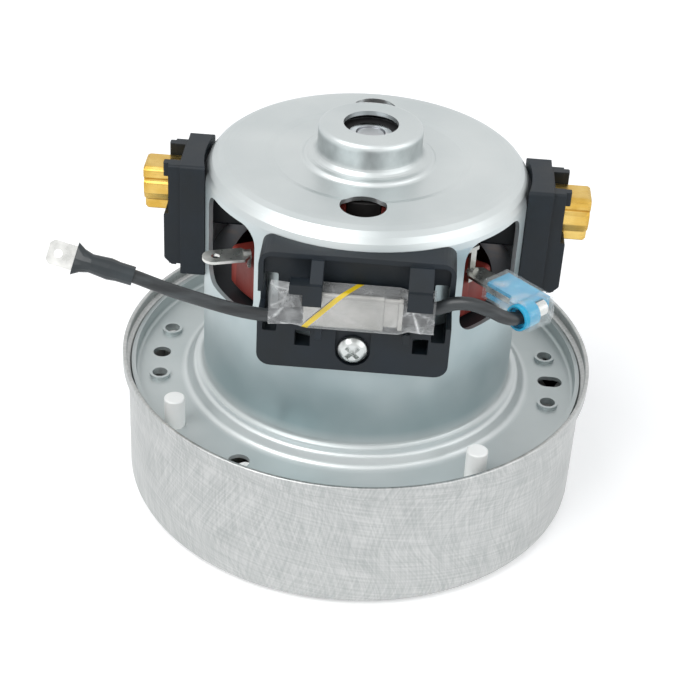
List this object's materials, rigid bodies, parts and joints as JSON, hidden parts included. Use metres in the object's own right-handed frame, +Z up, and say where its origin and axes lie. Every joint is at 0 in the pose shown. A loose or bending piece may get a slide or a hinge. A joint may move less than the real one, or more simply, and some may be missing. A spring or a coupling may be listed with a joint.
{
  "type": "vacuum cleaner motor unit",
  "caption": "Universal motor in a windowed drawn frame above a single-stage fan in a drum casing, with side brush holders, a sleeved thermal protector and two leads",
  "frame": {"origin": "centre of the casing's flat bottom, on the motor axis", "axes": "+Z up the motor axis from the air inlet to the bearing boss, X through the brushes, -Y to the thermal protector"},
  "size_m": [0.1456, 0.136, 0.1132],
  "materials": {
    "zinc_sheet": "satin zinc plating",
    "drawn_frame": "satin zinc plating",
    "plain_steel": "machined",
    "bearing_steel": "polished",
    "lamination": "dull",
    "impeller_aluminium": "satin",
    "copper": "turned",
    "magnet_wire": "varnished",
    "coil_wrap": "matt wrap",
    "brass_sheet": "drawn",
    "carbon": "matt graphite",
    "black_nylon": "satin",
    "black_resin": "matt",
    "white_plastic": "satin",
    "black_rubber": "matt",
    "tinned_steel": "tinned",
    "can_metal": "bright nickel",
    "clear_film": "clear",
    "blue_nylon": "translucent",
    "lead_sheath": "satin"
  },
  "bodies": {
    "housing": {"fan_casing": "zinc_sheet", "motor_frame": "drawn_frame", "lower_bracket": "zinc_sheet", "diffuser": "white_plastic", "locating_pegs": "white_plastic", "upper_bearing_outer": "bearing_steel", "upper_bearing_balls": "bearing_steel", "upper_bearing_seals": "black_rubber", "lower_bearing_outer": "bearing_steel", "lower_bearing_balls": "bearing_steel", "lower_bearing_seals": "black_rubber", "bearing_sleeve": "black_rubber", "stator_core": "lamination", "stator_insulator": "black_resin", "field_coil_front": "coil_wrap", "field_coil_rear": "coil_wrap", "field_tab_left": "tinned_steel", "field_tab_right": "tinned_steel", "brush_holder_left": "black_nylon", "brush_holder_right": "black_nylon", "brush_tube_left": "brass_sheet", "brush_tube_right": "brass_sheet", "brush_spring_left": "plain_steel", "brush_spring_right": "plain_steel", "protector_holder": "black_nylon", "protector_screw": "zinc_sheet", "thermal_protector": "can_metal", "protector_sleeve": "clear_film", "lead_left": "lead_sheath", "lead_left_shrink": "black_rubber", "lead_left_terminal": "tinned_steel", "lead_right": "lead_sheath", "flag_receptacle": "tinned_steel", "flag_boot": "blue_nylon", "flag_cover": "clear_film"},
    "rotor": {"impeller_back_plate": "impeller_aluminium", "impeller_blades": "impeller_aluminium", "impeller_shroud": "impeller_aluminium", "impeller_spacer": "plain_steel", "clamp_washer": "plain_steel", "impeller_nut": "brass_sheet", "shaft": "plain_steel", "armature_core": "lamination", "armature_windings": "magnet_wire", "commutator_bars": "copper", "commutator_hub": "black_resin", "upper_bearing_inner": "bearing_steel", "lower_bearing_inner": "bearing_steel"},
    "brush_left": {"carbon_brush_left": "carbon"},
    "brush_right": {"carbon_brush_right": "carbon"}
  },
  "joints": [
    {"name": "rotor_spin", "type": "hinge", "parent": "housing", "child": "rotor", "pos_m": [0, 0, 0.06], "axis": [0, 0, 1], "continuous": true},
    {"name": "brush_left_slide", "type": "slide", "parent": "housing", "child": "brush_left", "axis": [-1, 0, 0], "range_m": [0, 0.006], "stiffness_N_per_m": 100, "springref_m": -0.025, "deforming": ["brush_spring_left"]},
    {"name": "brush_right_slide", "type": "slide", "parent": "housing", "child": "brush_right", "axis": [1, 0, 0], "range_m": [0, 0.006], "stiffness_N_per_m": 100, "springref_m": -0.025, "deforming": ["brush_spring_right"]}
  ]
}
